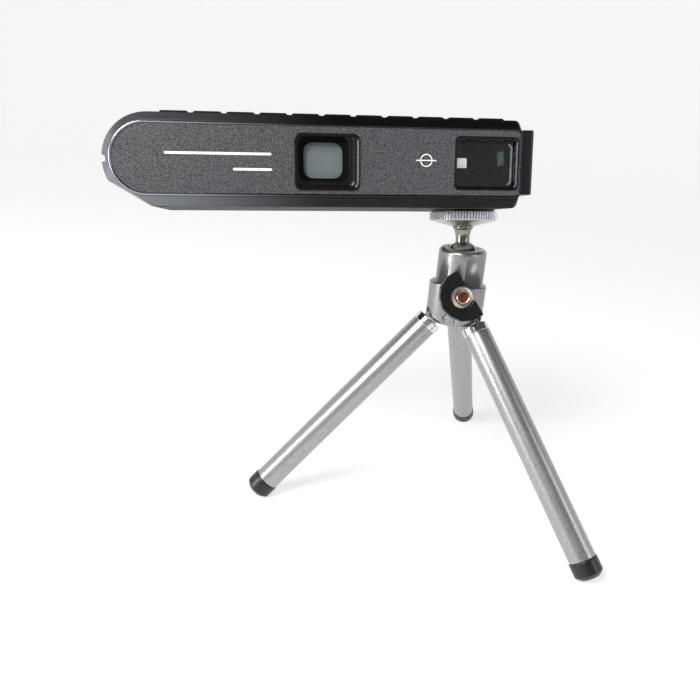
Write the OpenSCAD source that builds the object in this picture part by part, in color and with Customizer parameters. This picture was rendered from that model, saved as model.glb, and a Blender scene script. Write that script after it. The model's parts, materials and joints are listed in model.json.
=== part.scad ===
// Subminiature film camera on a folding table tripod with a ball head.
// Frame: +Z up, origin on the ground under the head's axis, lens facing -Y.

/* [Tripod legs] */
// Angle of each leg from the vertical when it is spread against its stop
leg_spread = 41.6; // [34:0.2:44]
// Distance from a leg's hinge pin to the end of its foot
leg_reach = 99.6; // [80:0.1:130]
// Outer diameter of a leg tube
leg_d = 9.5; // [8:0.1:11.4]
// Wall of a leg tube
leg_wall = 0.8; // [0.5:0.1:1.2]
// Length of the bright collar at the top of a leg
collar_len = 3; // [2:0.1:4]
// Distance from the hinge pin to the top of the collar
collar_drop = 4.6; // [4.2:0.1:6]
// Length of a rubber foot outside its tube
foot_len = 6.5; // [5:0.1:9]
// How far a foot stands out over its tube
foot_lip = 0.3; // [0.1:0.05:0.5]
// Thickness of the flat lug that carries a leg
lug_t = 3; // [2.4:0.1:3.4]
// Diameter of a leg's hinge pin
leg_pin_d = 1.8; // [1.4:0.1:2.2]
// Direction of the left leg, seen from above
left_leg_dir = 192.3; // [180:0.1:210]

/* [Ball head] */
// Diameter of the ball
ball_d = 13; // [11.4:0.1:15.6]
// Wall of the housing around the ball
head_wall = 1.85; // [1.5:0.05:2.6]
// Height of the ball's centre above the leg hinges
ball_rise = 19.8; // [18.6:0.1:24]
// Height of the shoulder above the leg hinges
shoulder_rise = 11.4; // [9:0.1:13]
// Radius of a lobe that holds a leg's hinge
lobe_r = 6.6; // [6.2:0.1:7.4]
// How far a lobe reaches beyond its hinge pin
lobe_edge = 4.5; // [4:0.1:5]
// Largest tilt of the ball stud from the vertical
tilt_limit = 30; // [20:1:32]
// Diameter of the neck between the ball and its flange
neck_d = 5.1; // [4:0.1:6]
// Diameter of the flange under the lock disc
flange_d = 7.3; // [6.8:0.1:9]
// Diameter of the knurled lock disc
disc_d = 24.2; // [20:0.1:29]
// Height of the lock disc's knurled rim
disc_rim = 3.2; // [2:0.1:4]
// Number of ridges around the lock disc
disc_ridges = 72; // [48:1:96]
// Thickness of the rubber pad on the lock disc
pad_t = 0.55; // [0.4:0.05:1]

/* [Clamp] */
// Direction of the clamp screw, seen from above
clamp_dir = 268; // [256:1:276]
// Rise of the clamp screw's outer end above the horizontal
clamp_rise = 18; // [6:1:20]
// Diameter of the clamp screw
clamp_d = 4.9; // [4:0.1:5.2]
// Span of the half-moon grip across its wings
grip_span = 18; // [15:0.2:20]
// Thickness of the half-moon grip along the screw
grip_t = 4.2; // [3.4:0.1:5]
// Turn of the grip's open side from the horizontal
grip_turn = 36; // [0:1:90]

/* [Pose] */
// Turn of the ball in its seat
ball_pan = 23.5; // [0:0.5:40]
// Backward tilt of the ball stud
ball_tilt = 10.6; // [0:0.1:18]
// Turn of the camera on the stud
camera_turn = -14.3; // [-60:0.1:60]

/* [Camera] */
// Length of the casing
body_l = 131.3; // [124:0.1:158]
// Height of the casing
body_h = 27.8; // [27.4:0.1:31]
// Depth of the camera from its front trim to its back
body_d = 50.2; // [48:0.1:60]
// Distance from the tripod socket to the casing's right end
socket_inset = 11.3; // [11:0.1:13]
// Wall of the casing
wall = 1.6; // [1.3:0.1:2]
// Radius of the casing's right corners
corner_r = 2; // [1:0.1:3]
// Slope of the flat that cuts the lower left of the round end
flat_slope = 31; // [25:1:34]
// Depth of the bevelled front frame
frame_d = 2.9; // [2.4:0.1:3.6]
// Number of pads along the top grip
grip_pads = 11; // [6:1:14]
// Height of the top grip pads
grip_pad_h = 0.8; // [0.4:0.1:1.2]

/* [Front] */
// Distance from the tripod socket to the lens axis
lens_offset = 53.1; // [52:0.1:58]
// Height of the lens axis above the base
lens_z = 14.3; // [13.6:0.1:15]
// Diameter of the lens barrel
barrel_d = 11; // [9:0.1:12]
// Width of the lens window
window_w = 15.3; // [13:0.1:16]
// Height of the lens window
window_h = 13; // [11:0.1:13.4]
// Width of the viewfinder window
finder_w = 19.6; // [17:0.1:20]
// Height of the viewfinder window
finder_h = 15; // [13:0.1:15.6]
// Width of the bright trim around the panel
trim_w = 0.8; // [0.5:0.1:1.2]

/* [Transport] */
// Travel of the transport slide
slide_travel = 18; // [12:0.5:20]
// Thickness of the slide's end block
block_t = 4.1; // [3:0.1:5]
// Tooth module of the film advance gear and its rack
gear_module = 0.6; // [0.5:0.05:0.7]
// Number of teeth of the film advance gear
gear_teeth = 14; // [12:1:16]

/* [Back door] */
// Length of the film door
door_l = 83.4; // [76:0.1:86]
// Diameter of the door's hinge pin
door_pin_d = 1.6; // [1.2:0.1:1.8]

/* [Hidden] */

$fn = 96;
eps = 0.02;
edge = 0.4;           // small chamfer on a turned edge
press_gap = 0;        // pieces fixed together
run_gap = 0.06;       // a pin or shaft that turns in its bore
slide_gap = 0.15;     // flat faces that slide past each other
free_gap = 0.3;       // pieces that never touch

SILVER = "silver";
STEEL = "gainsboro";
BLACK = "#17181a";
RUBBER = "#101010";
GREY = "#6c7174";
BRASS = "#b8733a";

// Legs, along their own axis from the hinge pin
leg_r = leg_d / 2;
foot_r = leg_r + foot_lip;
collar_r = leg_r + 0.15;
tube_from = collar_drop + collar_len;
tube_to = leg_reach - foot_len;
lug_w = 2 * (leg_pin_d / 2 + 1.5);
plug_len = 6;
foot_chamfer = 1.5;
foot_end_r = foot_r - 1.6;
foot_cut = 0.12;      // depth of the flat that a foot stands on
leg_gap = 1.16;       // between the feet of folded legs
hinge_r = (2 * foot_r + leg_gap) / sqrt(3);
foot_drop_side = foot_r * sin(leg_spread) - foot_chamfer * cos(leg_spread);
foot_drop_end = foot_end_r * sin(leg_spread);
foot_drop = max(foot_drop_side, foot_drop_end) - foot_cut;
hinge_z = leg_reach * cos(leg_spread) + foot_drop;
LEGS = [left_leg_dir, left_leg_dir + 120, left_leg_dir + 240];

// Head
ball_r = ball_d / 2;
ball_gap = 0.1;
bore_r = ball_r + free_gap;
head_r = bore_r + head_wall;
ball_z = hinge_z + ball_rise;
head_bottom = hinge_z - (collar_drop - 0.6);
shoulder_z = hinge_z + shoulder_rise;
neck_r = neck_d / 2;
mouth_rise = 0.63 * ball_r;     // height of the housing's mouth above the ball's centre
head_top = ball_z + mouth_rise;
mouth_r = mouth_rise * tan(tilt_limit) + neck_r / cos(tilt_limit) + 0.19;
lobe_at = hinge_r + lobe_edge - lobe_r;
lobe_seam = 60;                 // where a lobe's turned surface starts, clear of its slot
slot_w = lug_t + 2 * slide_gap;
slot_top = lug_w / 2 + 0.4;
pin_half = 5.6;
seat_depth = 8.4;               // ball centre to the foot of the seat's cylinder
seat_cone = 4;
seat_z = ball_z - seat_depth;
seat_r = bore_r - run_gap;

// Clamp screw, along its own axis from the head's axis
clamp_r = clamp_d / 2;
clamp_drop = 3;                 // seat's lower end to the screw's axis
clamp_z = seat_z - seat_cone - clamp_drop;
tip_gap = 0.5;                  // screw's shoulder to the seat's cone
tip_cone = 2;
clamp_tip = (seat_r + sqrt(2) * tip_gap - seat_cone - clamp_drop
    + clamp_r * (cos(clamp_rise) + sin(clamp_rise))) / (cos(clamp_rise) - sin(clamp_rise)) - tip_cone;
grip_wing = grip_span / 2;
grip_clear = (head_r + 0.35 + (grip_wing + 1) * sin(clamp_rise)) / cos(clamp_rise);
grip_from = grip_clear;
grip_to = grip_from + grip_t;
hub_r = 3.9;
hub_neck_r = 3.2;
hub_off = LEGS[1] - clamp_dir;  // from the nearest lobe
// how far out the hub's edge at angle a stands clear of a post of radius r, centred at a distance
function hub_clear(a, at, r) =
    let (s = hub_neck_r * sin(a) - at * sin(hub_off))
    (at * cos(hub_off) + sqrt(pow(r + free_gap, 2) - s * s) + hub_neck_r * cos(a) * sin(clamp_rise))
    / cos(clamp_rise);
hub_from = max([for (a = [0 : 6 : 90]) max(hub_clear(a, lobe_at, lobe_r), hub_clear(a, 0, head_r))]);
hub_to = grip_to - 2.2;
clamp_to = grip_to + 1.8;

// Stud, along its own axis from the ball's centre
flange_from = 10.6;
flange_to = 11.6;
flange_r = flange_d / 2;
disc_cone = 2.1;
disc_r = disc_d / 2;
disc_pad_r = disc_r - 1.1;
ridge_h = 0.35;
disc_from = flange_to;
disc_mid = disc_from + disc_cone;
disc_to = disc_mid + disc_rim;
stud_h = disc_to + pad_t;
thread_r = 3.1;                 // the quarter inch screw's outside
thread_len = 5.5;

// Camera, in its own frame: origin at the tripod socket in the base
x_r = socket_inset;
x_l = x_r - body_l;
end_r = body_h / 2;
end_x = x_l + end_r;
y_f = -body_d / 2;
y_b = body_d / 2;
y_c = y_f + 0.6 + frame_d;      // front of the two casings
frame_face = y_f + 0.6;
panel_face = y_f + 0.45;
panel_back = panel_face + 1.3;
split_z = end_r;
notch_d = 1.3;                  // notch for the strap in the round end
notch_h = 2;
notch_z = split_z - 0.9;
strap_pin_r = 0.4;
trim_low = 3.1;
trim_high = body_h - 2.8;
trim_z = (trim_low + trim_high) / 2;
trim_r = (trim_high - trim_low) / 2;
trim_left = x_l + 2.45;
trim_right = x_r - 0.1;
trim_corner = 2.2;

lens_x = -lens_offset;
bezel_w = window_w + 5.4;
bezel_h = window_h + 4.3;
bezel_x = lens_x + 1.1;
bezel_z = lens_z - 0.75;
window_z = lens_z + 0.3;
tunnel_t = 0.35;                // front box of the viewfinder tunnel
finder_x = x_r - max(wall + tunnel_t + 0.05, trim_w + 1.2) - finder_w / 2;
finder_z = trim_z - 0.15;
finder_rim = 0.9;

tunnel_wall = 0.8;
tunnel_y = y_c + 13;
eyepiece_w = 8;
eyepiece_hole = eyepiece_w - 0.6;
eyepiece_x = finder_x + finder_w / 2 - 6.4;
eyepiece_z = finder_z + 2.6;

tray_z = 4.3;
tray_t = 1;
tray_top = tray_z + tray_t;
tray_half = 16;
cover_w = 13.6;
cover_h = 14.4;
cover_t = 0.7;
cover_y = y_c + 0.8;
barrel_r = barrel_d / 2;
barrel_from = cover_y + cover_t + 0.4;
barrel_to = barrel_from + 10;
plate_to = barrel_to + 1;
blade_t = 0.4;
blade_y = plate_to + 0.3;
pivot_x = lens_x - 9;
pivot_z = lens_z - 5;
pivot_r = 0.7;
block_x = x_r + free_gap;
block_low = tray_z;
block_high = trim_high - 0.3;

pitch_r = gear_module * gear_teeth / 2;
tooth_pitch = PI * gear_module;
gear_x = -12;
gear_y = 10;
gear_z = tray_top + 0.4;
gear_t = 2;
rack_line = gear_y + pitch_r;
axle_r = 1;

bush_r = 5.2;
bush_top = 7.5;
film_y = 9;
chamber_r = 8.5;
cartridge_z = gear_z + gear_t + 0.4;
cartridge_h = trim_high - 1.6 - cartridge_z;
supply_x = lens_x - 25.5;
takeup_x = lens_x + 25.5;
chamber_y = film_y + 4.2;

door_x1 = takeup_x + chamber_r + 1;
door_x0 = door_x1 - door_l;
door_t = wall;
door_low = 2.7;
door_high = body_h - 2.7;
door_pin_r = door_pin_d / 2;
knuckle_r = door_pin_r + 0.7;
door_pin_x = door_x0 - knuckle_r - 0.3;
door_pin_y = y_b - knuckle_r;
knuckle_low = 8;
knuckle_high = body_h - knuckle_low;
latch_w = 5;
latch_t = 0.85;
latch_travel = 3;
latch_x = door_x1 + 1.2 + latch_w / 2;
latch_half = 2.9;

pads_x0 = x_l + 16.5;
pads_x1 = x_r - 4.3;
pad_pitch = (pads_x1 - pads_x0) / grip_pads;
pads_y0 = y_c + 1.4;
pads_y1 = y_b - 4;
button_x = pads_x0 + pad_pitch / 2;
button_y = -5;
button_r = min(4.2, pad_pitch / 2 - 0.75);
button_top = body_h + grip_pad_h;
button_stem_r = 1.6;
button_gap = 0.25;
guide_z = split_z + 4.6;        // floor that the release spring stands on
button_stem_z = 16.5;

screw_r = 0.9;
screw_boss_r = 2.3;
SCREWS = [
    [end_x + 2.5, y_c + 5], [end_x + 2.5, y_b - 11],
    [lens_x - 15, y_c + 5], [lens_x + 31, -tray_half - screw_boss_r - free_gap]
];

// ---------- placing ----------

module at_leg(dir) {
    rotate([0, 0, dir]) translate([hinge_r, 0, hinge_z]) rotate([0, -leg_spread, 0]) children();
}

module at_clamp() {
    translate([0, 0, clamp_z]) rotate([0, 0, clamp_dir]) rotate([0, 90 - clamp_rise, 0]) children();
}

module on_ball() {
    translate([0, 0, ball_z]) rotate([0, 0, ball_pan]) rotate([-ball_tilt, 0, 0]) children();
}

module on_stud() {
    on_ball() rotate([0, 0, camera_turn]) translate([0, 0, stud_h]) children();
}

// A flat shape drawn in x and z, standing from y0 to y1
module slab(y0, y1) {
    translate([0, y1, 0]) rotate([90, 0, 0]) linear_extrude(y1 - y0) children();
}

module block(x0, x1, y0, y1, z0, z1) {
    translate([x0, y0, z0]) cube([x1 - x0, y1 - y0, z1 - z0]);
}

// A rounded rectangle centred at x, z
module plate(x, z, w, h, r) {
    translate([x - w / 2 + r, z - h / 2]) square([w - 2 * r, h]);
    translate([x - w / 2, z - h / 2 + r]) square([w, h - 2 * r]);
    for (sx = [-1, 1], sz = [-1, 1]) {
        translate([x + sx * (w / 2 - r), z + sz * (h / 2 - r)]) circle(r);
    }
}

// ---------- tripod ----------

// Round-topped post, used for the housing's column and its three lobes
module post(r, z0, z1, round_r) {
    rotate_extrude() {
        translate([0, z0]) square([r, z1 - z0 - round_r]);
        translate([0, z1 - round_r - eps]) square([r - round_r, round_r + eps]);
        intersection() {
            translate([r - round_r, z1 - round_r]) circle(round_r);
            translate([r - round_r - eps, z1 - round_r - eps]) square(round_r + 1);
        }
    }
}

module head_housing() {
    color(SILVER) difference() {
        union() {
            post(head_r, head_bottom, head_top, 1.7);
            for (dir = LEGS) {
                rotate([0, 0, dir]) translate([lobe_at, 0, 0]) rotate([0, 0, lobe_seam])
                    post(lobe_r, head_bottom, shoulder_z, 0.7);
            }
        }
        leg_stop_cone();
        translate([0, 0, seat_z - seat_cone - 0.4]) cylinder(r = bore_r, h = seat_depth + seat_cone + 0.4);
        translate([0, 0, ball_z]) sphere(r = ball_r + ball_gap);
        translate([0, 0, ball_z]) cylinder(r = mouth_r, h = mouth_rise + 1);
        for (dir = LEGS) {
            rotate([0, 0, dir]) leg_slot();
        }
        at_clamp() translate([0, 0, clamp_tip - 1]) cylinder(r = clamp_r + run_gap, h = head_r + 8);
    }
}

// Ring that bevels the housing's lower edge parallel to the collars
module leg_stop_cone() {
    drop = collar_drop - 0.6;
    r_out = hinge_r + lobe_edge + 3;
    function cone_z(r) = hinge_z + ((r - hinge_r) * sin(leg_spread) - drop) / cos(leg_spread);
    r_in = hinge_r + drop * (1 - cos(leg_spread)) / sin(leg_spread);
    rotate_extrude() polygon([
        [r_in, head_bottom - 1], [r_in, cone_z(r_in)], [r_out, cone_z(r_out)], [r_out, head_bottom - 1]
    ]);
}

module leg_slot() {
    slot_in = hinge_r - lug_w / 2 - 0.4;
    translate([slot_in, -slot_w / 2, head_bottom - 1])
        cube([head_r + 6, slot_w, hinge_z - head_bottom + 1 + slot_top]);
    translate([hinge_r, 0, hinge_z]) rotate([90, 0, 0])
        cylinder(r = leg_pin_d / 2 + press_gap, h = 2 * lobe_r + 2, center = true);
}

module leg_pins() {
    color(STEEL) for (dir = LEGS) {
        rotate([0, 0, dir]) translate([hinge_r, 0, hinge_z]) rotate([90, 0, 0])
            cylinder(r = leg_pin_d / 2, h = 2 * pin_half, center = true);
    }
}

module leg_lug(dir) {
    spigot = 5;
    color(STEEL) at_leg(dir) difference() {
        union() {
            rotate([90, 0, 0]) cylinder(r = lug_w / 2, h = lug_t, center = true);
            translate([-lug_w / 2, -lug_t / 2, -collar_drop]) cube([lug_w, lug_t, collar_drop]);
            translate([0, 0, -tube_from - spigot]) cylinder(r = lug_w / 2, h = collar_len + spigot);
        }
        rotate([90, 0, 0]) cylinder(r = leg_pin_d / 2 + run_gap, h = lug_t + 1, center = true);
    }
}

module leg_collar(dir) {
    color(STEEL) at_leg(dir) difference() {
        union() {
            translate([0, 0, -tube_from]) cylinder(r = collar_r, h = collar_len - edge);
            translate([0, 0, -collar_drop - edge]) cylinder(r1 = collar_r, r2 = collar_r - edge, h = edge);
            translate([0, 0, -tube_from - 4]) cylinder(r = leg_r - leg_wall, h = 4 + eps);
        }
        translate([0, 0, -tube_from - 5]) cylinder(r = lug_w / 2 + press_gap, h = collar_len + 6);
    }
}

module leg_tube(dir) {
    color(SILVER) at_leg(dir) translate([0, 0, -tube_to]) difference() {
        cylinder(r = leg_r, h = tube_to - tube_from);
        translate([0, 0, -1]) cylinder(r = leg_r - leg_wall, h = tube_to - tube_from + 2);
    }
}

module foot(dir) {
    color(RUBBER) intersection() {
        at_leg(dir) union() {
            translate([0, 0, -leg_reach + foot_chamfer])
                cylinder(r = foot_r, h = foot_len - foot_chamfer - edge);
            translate([0, 0, -tube_to - edge]) cylinder(r1 = foot_r, r2 = leg_r, h = edge);
            translate([0, 0, -leg_reach]) cylinder(r1 = foot_end_r, r2 = foot_r, h = foot_chamfer);
            translate([0, 0, -tube_to - eps]) cylinder(r = leg_r - leg_wall, h = plug_len);
        }
        translate([-leg_reach, -leg_reach, 0]) cube([2 * leg_reach, 2 * leg_reach, hinge_z]);
    }
}

// ---------- ball head ----------

module ball_seat() {
    color(GREY) difference() {
        union() {
            translate([0, 0, seat_z]) cylinder(r = seat_r, h = seat_depth - 1);
            translate([0, 0, seat_z - seat_cone])
                cylinder(r1 = seat_r - seat_cone, r2 = seat_r, h = seat_cone);
        }
        translate([0, 0, ball_z]) sphere(r = ball_r + run_gap);
    }
}

module ball_stud() {
    color(STEEL) on_ball() union() {
        sphere(r = ball_r);
        rotate_extrude() polygon([
            [0, 0], [neck_r, 0], [neck_r, flange_from - 2],
            [flange_r - 0.5, flange_from], [flange_r, flange_from], [flange_r, flange_to],
            [thread_r, flange_to], [thread_r, stud_h + thread_len - 0.6],
            [thread_r - 0.6, stud_h + thread_len], [0, stud_h + thread_len]
        ]);
    }
}

// Straight ridges as a toothed outline
function ridged(r, n, depth) = [
    for (i = [0 : 2 * n - 1]) let (a = 180 * i / n, q = i % 2 == 0 ? r : r - depth) [q * cos(a), q * sin(a)]
];

module lock_disc() {
    color(SILVER) on_ball() difference() {
        union() {
            translate([0, 0, disc_mid]) linear_extrude(disc_rim)
                polygon(ridged(disc_r, disc_ridges, ridge_h));
            translate([0, 0, disc_from])
                cylinder(r1 = flange_r + 0.3, r2 = disc_r - 0.6, h = disc_cone + eps);
        }
        translate([0, 0, disc_from - 1]) cylinder(r = thread_r + run_gap, h = disc_cone + disc_rim + 2);
    }
}

module disc_pad() {
    color(RUBBER) on_ball() translate([0, 0, disc_to]) difference() {
        cylinder(r = disc_pad_r, h = pad_t);
        translate([0, 0, -1]) cylinder(r = thread_r + run_gap, h = pad_t + 2);
    }
}

// ---------- clamp ----------

module clamp_screw() {
    color(BRASS) at_clamp() {
        translate([0, 0, clamp_tip + tip_cone])
            cylinder(r = clamp_r, h = clamp_to - clamp_tip - tip_cone - edge);
        translate([0, 0, clamp_tip]) cylinder(r1 = clamp_r - 1.3, r2 = clamp_r, h = tip_cone + eps);
        translate([0, 0, clamp_to - edge]) cylinder(r1 = clamp_r, r2 = clamp_r - edge, h = edge);
    }
}

module clamp_hub() {
    color(STEEL) at_clamp() difference() {
        union() {
            translate([0, 0, hub_from]) cylinder(r = hub_neck_r, h = hub_to - hub_from);
            translate([0, 0, hub_to - 1]) cylinder(r = hub_r, h = 1);
        }
        translate([0, 0, hub_from - 1]) cylinder(r = clamp_r + press_gap, h = hub_to - hub_from + 2);
    }
}

// Half-moon with two wings; its open side faces +X before it is turned
module half_moon() {
    s = grip_wing;
    chord = 0.36 * s;
    back = 0.88 * s;
    polygon([
        [chord, s], [-0.12 * s, s], [-0.52 * s, 0.8 * s], [-0.78 * s, 0.42 * s], [-back, 0],
        [-0.78 * s, -0.42 * s], [-0.52 * s, -0.8 * s], [-0.12 * s, -s], [chord, -s]
    ]);
}

module clamp_grip() {
    pocket_r = hub_r + press_gap;
    color(BLACK) at_clamp() rotate([0, 0, 90 + grip_turn]) difference() {
        translate([0, 0, grip_from]) linear_extrude(grip_t) half_moon();
        translate([0, 0, grip_from - 1]) cylinder(r = hub_neck_r + press_gap, h = grip_t + 2);
        translate([0, 0, hub_to - 1]) cylinder(r = pocket_r, h = grip_t);
        translate([0, -hub_neck_r, hub_to - 1]) cube([grip_span, 2 * hub_neck_r, grip_t]);
    }
}

// ---------- camera outlines ----------

// Casing outline in x and z, drawn smaller by inset
module body_outline(inset = 0) {
    r = max(corner_r - inset, 0.3);
    run = 2 * end_r;
    difference() {
        union() {
            translate([end_x, end_r]) circle(end_r - inset);
            translate([end_x, inset]) square([x_r - inset - r - end_x, body_h - 2 * inset]);
            translate([end_x, inset + r]) square([x_r - inset - end_x, body_h - 2 * inset - 2 * r]);
            for (z = [inset + r, body_h - inset - r]) {
                translate([x_r - inset - r, z]) circle(r);
            }
        }
        translate([end_x, inset / cos(flat_slope)]) polygon([
            [0, 0], [-run, run * tan(flat_slope)], [-run, -end_r], [0, -end_r]
        ]);
    }
}

// Outline of the bright trim, drawn smaller by inset
module trim_outline(inset = 0) {
    r = max(trim_corner - inset, 0.3);
    cx = trim_left + trim_r;
    right = trim_right - inset;
    low = trim_low + inset;
    high = trim_high - inset;
    translate([cx, trim_z]) circle(trim_r - inset);
    translate([cx, low]) square([right - r - cx, high - low]);
    translate([cx, low + r]) square([right - cx, high - low - 2 * r]);
    for (z = [low + r, high - r]) {
        translate([right - r, z]) circle(r);
    }
}

module above_split() {
    translate([x_l - 1, split_z]) square([body_l + 2, body_h]);
}

module below_split() {
    translate([x_l - 1, split_z - body_h]) square([body_l + 2, body_h]);
}

// ---------- casings ----------

// Cuts that both casings share
module casing_cuts() {
    slab(y_c - 1, y_b - wall) body_outline(wall);
    block(door_x0 - free_gap, door_x1 + free_gap, y_b - wall - 2, y_b + 1, door_low - 0.2, door_high + 0.2);
    block(door_pin_x, door_x0, y_b - 2 * knuckle_r - 0.6, y_b + 1, knuckle_low - 0.2, knuckle_high + 0.2);
    block(door_pin_x - knuckle_r - free_gap, door_x0, door_pin_y, y_b + 1,
          knuckle_low - 0.2, knuckle_high + 0.2);
    translate([door_pin_x, door_pin_y, knuckle_low - 0.2])
        cylinder(r = knuckle_r + free_gap, h = knuckle_high - knuckle_low + 0.4);
    slab(y_b - wall - 1, y_b + 1) plate(eyepiece_x, eyepiece_z, eyepiece_hole, eyepiece_hole, 1);
    latch_pocket();
    strap_notch(y_c - 1);
}

module latch_pocket() {
    block(door_x1, latch_x + latch_w / 2 + free_gap, y_b - latch_t - slide_gap, y_b + 1,
          split_z - latch_half - slide_gap, split_z + latch_half + slide_gap);
}

module strap_notch(y0) {
    block(x_l - 1, x_l + notch_d, y0, y_f + 14, notch_z, notch_z + notch_h);
}

module hinge_boss(z0, z1) {
    translate([door_pin_x, door_pin_y, z0]) cylinder(r = knuckle_r, h = z1 - z0);
}

module bottom_casing() {
    color(BLACK) difference() {
        union() {
            difference() {
                slab(y_c, y_b) intersection() {
                    body_outline();
                    below_split();
                }
                casing_cuts();
            }
            hinge_boss(wall - eps, knuckle_low - 0.2);
            for (p = SCREWS) {
                translate([p[0], p[1], wall - eps]) cylinder(r = screw_boss_r, h = split_z - wall);
            }
        }
        translate([0, 0, -1]) cylinder(r = bush_r, h = wall + 2);
        block(x_r - wall - 1, x_r + 1, -tray_half - slide_gap, tray_half + slide_gap,
              tray_z - slide_gap, tray_top + slide_gap);
        translate([door_pin_x, door_pin_y, -1]) cylinder(r = door_pin_r, h = knuckle_low + 1);
        for (p = SCREWS) {
            translate([p[0], p[1], -1]) cylinder(r = screw_r, h = body_h);
            translate([p[0], p[1], -1]) cylinder(r = 1.7, h = 2.1);
        }
        translate([gear_x, gear_y, wall / 2]) cylinder(r = axle_r, h = wall);
    }
}

module top_casing() {
    color(BLACK) difference() {
        union() {
            difference() {
                slab(y_c, y_b) intersection() {
                    body_outline();
                    above_split();
                }
                casing_cuts();
            }
            hinge_boss(knuckle_high + 0.2, body_h - wall + eps);
            for (p = SCREWS) {
                translate([p[0], p[1], split_z])
                    cylinder(r = screw_boss_r, h = body_h - wall + eps - split_z);
            }
            button_guide();
        }
        translate([door_pin_x, door_pin_y, knuckle_high]) cylinder(r = door_pin_r, h = knuckle_low - wall);
        translate([button_x, button_y, body_h - wall - 1]) cylinder(r = button_r + button_gap, h = wall + 2);
        translate([button_x, button_y, button_stem_z - 3]) cylinder(r = button_stem_r + 0.1, h = 6);
        for (p = SCREWS) {
            translate([p[0], p[1], split_z - 1]) cylinder(r = screw_r, h = 7.5);
        }
    }
}

// Tube under the button that guides its stem and carries the spring
module button_guide() {
    translate([button_x, button_y, 0]) difference() {
        translate([0, 0, guide_z - 1.2])
            cylinder(r = button_r + 1.2, h = body_h - wall + eps - guide_z + 1.2);
        translate([0, 0, guide_z]) cylinder(r = button_r + button_gap, h = body_h);
    }
}

module front_frame() {
    skin = 0.2;
    color(BLACK) difference() {
        hull() {
            slab(y_c - skin, y_c) body_outline();
            slab(y_c - 0.9, y_c - 0.7) body_outline(0.55);
            slab(frame_face, frame_face + skin) trim_outline(-0.05);
        }
        slab(frame_face - 1, panel_back) trim_outline();
        slab(frame_face - 1, y_c + 1) plate(bezel_x, bezel_z, bezel_w - 2, bezel_h - 2, 1.5);
        slab(frame_face - 1, y_c + 1) plate(finder_x, finder_z, finder_w + 1, finder_h + 1, 1);
        strap_notch(y_f - 1);
    }
}

module trim_frame() {
    color(STEEL) difference() {
        slab(y_f, panel_back) trim_outline();
        slab(y_f - 1, panel_back + 1) trim_outline(trim_w);
    }
}

module front_panel() {
    color("#3c3e41") difference() {
        slab(panel_face, panel_back) trim_outline(trim_w);
        slab(panel_face - 1, panel_back + 1) plate(bezel_x, bezel_z, bezel_w, bezel_h, 2.2);
        slab(panel_face - 1, panel_back + 1) finder_outline(finder_rim);
    }
}

module finder_outline(rim) {
    plate(finder_x, finder_z, finder_w + 2 * rim, finder_h + 2 * rim, 1.6);
}

module lens_bezel() {
    color(BLACK) difference() {
        union() {
            slab(y_f + 0.1, panel_back) plate(bezel_x, bezel_z, bezel_w, bezel_h, 2.2);
            slab(panel_back - eps, y_c) plate(bezel_x, bezel_z, bezel_w - 2.1, bezel_h - 2.1, 1.4);
        }
        slab(y_f - 1, y_f + 0.5) plate(bezel_x - 0.35, bezel_z + 0.25, bezel_w - 1.5, bezel_h - 1.5, 1.8);
        slab(y_f - 1, y_f + 1) plate(bezel_x - 0.7, bezel_z + 0.5, bezel_w - 3.2, bezel_h - 2.6, 1.8);
        slab(y_f - 1, y_c + 1) plate(lens_x, window_z, window_w, window_h, 2.2);
    }
}

module viewfinder_frame() {
    color(BLACK) difference() {
        slab(panel_face - 0.1, panel_back) finder_outline(finder_rim);
        slab(y_f - 1, panel_back + 1) plate(finder_x, finder_z, finder_w, finder_h, 1.2);
    }
}

module viewfinder_window() {
    color("#5a6a78", 0.5) slab(panel_back, panel_back + 1.4)
        plate(finder_x, finder_z, finder_w + 0.8, finder_h + 0.8, 0.9);
}

// ---------- viewfinder ----------

module viewfinder_tunnel() {
    front = 2 * tunnel_t;
    rear = eyepiece_w + 2 * tunnel_wall;
    color(BLACK) difference() {
        union() {
            slab(y_c + slide_gap, tunnel_y + tunnel_wall)
                plate(finder_x, finder_z, finder_w + front, finder_h + front, 0.6);
            slab(tunnel_y, y_b - wall) plate(eyepiece_x, eyepiece_z, rear, rear, 0.6);
        }
        slab(y_c - 1, tunnel_y) plate(finder_x, finder_z, finder_w, finder_h, 0.5);
        slab(tunnel_y - 1, y_b) plate(eyepiece_x, eyepiece_z, eyepiece_w, eyepiece_w, 0.5);
    }
}

module eyepiece() {
    color("#9aa7b0", 0.6) union() {
        slab(y_b - wall - 2, y_b - wall) plate(eyepiece_x, eyepiece_z, eyepiece_w, eyepiece_w, 0.5);
        slab(y_b - wall - eps, y_b - 0.3) plate(eyepiece_x, eyepiece_z, eyepiece_hole, eyepiece_hole, 1);
    }
}

// ---------- lens and shutter ----------

module along_lens(y0, y1, r) {
    translate([lens_x, y1, lens_z]) rotate([90, 0, 0]) cylinder(r = r, h = y1 - y0);
}

// Along the shutter blade's pivot, ending y past the blade's front
module blade_pivot(y) {
    translate([pivot_x, blade_y + y, pivot_z]) rotate([90, 0, 0]) children();
}

module lens_barrel() {
    color(BLACK) difference() {
        union() {
            along_lens(barrel_from, barrel_to, barrel_r);
            along_lens(barrel_to - 1.5, barrel_to, barrel_r + 1.2);
        }
        along_lens(barrel_from - 1, barrel_from + 3, barrel_r - 1);
        along_lens(barrel_from - 1, barrel_to + 1, barrel_r - 2.2);
        along_lens(barrel_to - 2.4, barrel_to + 1, barrel_r - 1.4);
    }
}

module front_element() {
    color("#7c8fa0", 0.6) along_lens(barrel_from + 0.8, barrel_from + 3, barrel_r - 1);
}

module rear_element() {
    color("#7c8fa0", 0.6) along_lens(barrel_to - 2.4, barrel_to - 0.4, barrel_r - 1.4);
}

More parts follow.
